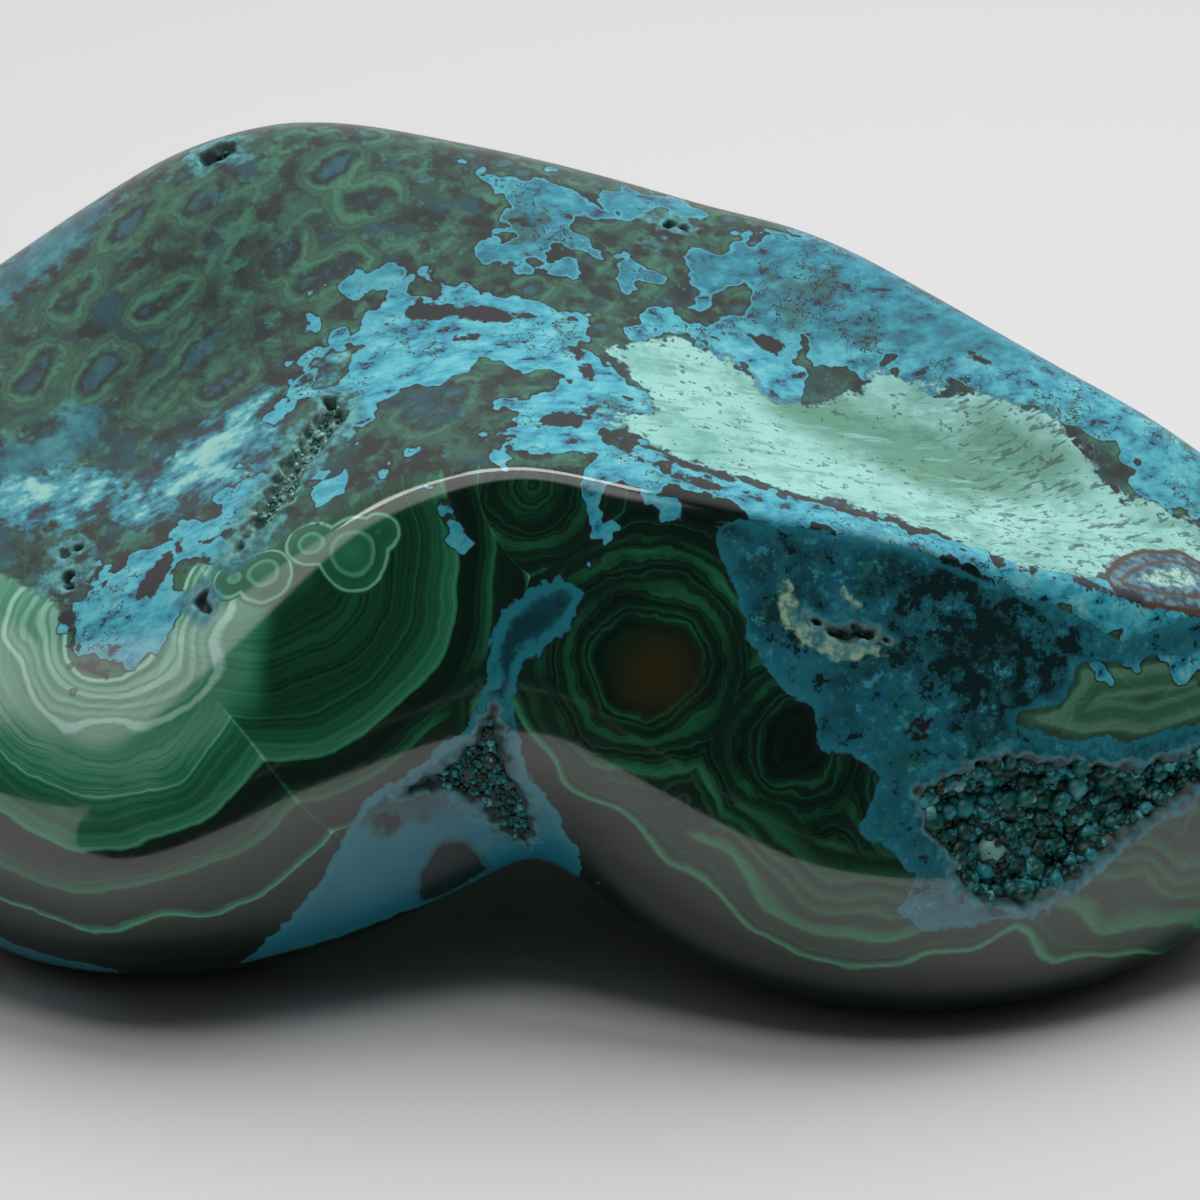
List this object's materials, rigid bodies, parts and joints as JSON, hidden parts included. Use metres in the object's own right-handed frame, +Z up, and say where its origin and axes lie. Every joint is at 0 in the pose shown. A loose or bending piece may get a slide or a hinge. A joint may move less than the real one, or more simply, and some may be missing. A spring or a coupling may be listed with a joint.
{
  "type": "polished chrysocolla and malachite specimen",
  "caption": "Polished freeform of banded green malachite and blue chrysocolla, with open crystal-lined pits, that stands on a flat-ground sole.",
  "frame": {"origin": "on the surface the stone stands on, under the middle of its bounding box", "axes": "+X along the stone to the viewer's right, +Y to its back, +Z up; the polished front faces -Y"},
  "size_m": [0.106, 0.0536, 0.0474],
  "materials": {
    "polished_stone": "high polish, with matt crystal-lined pits"
  },
  "bodies": {
    "root": {"stone": "polished_stone"}
  },
  "joints": []
}
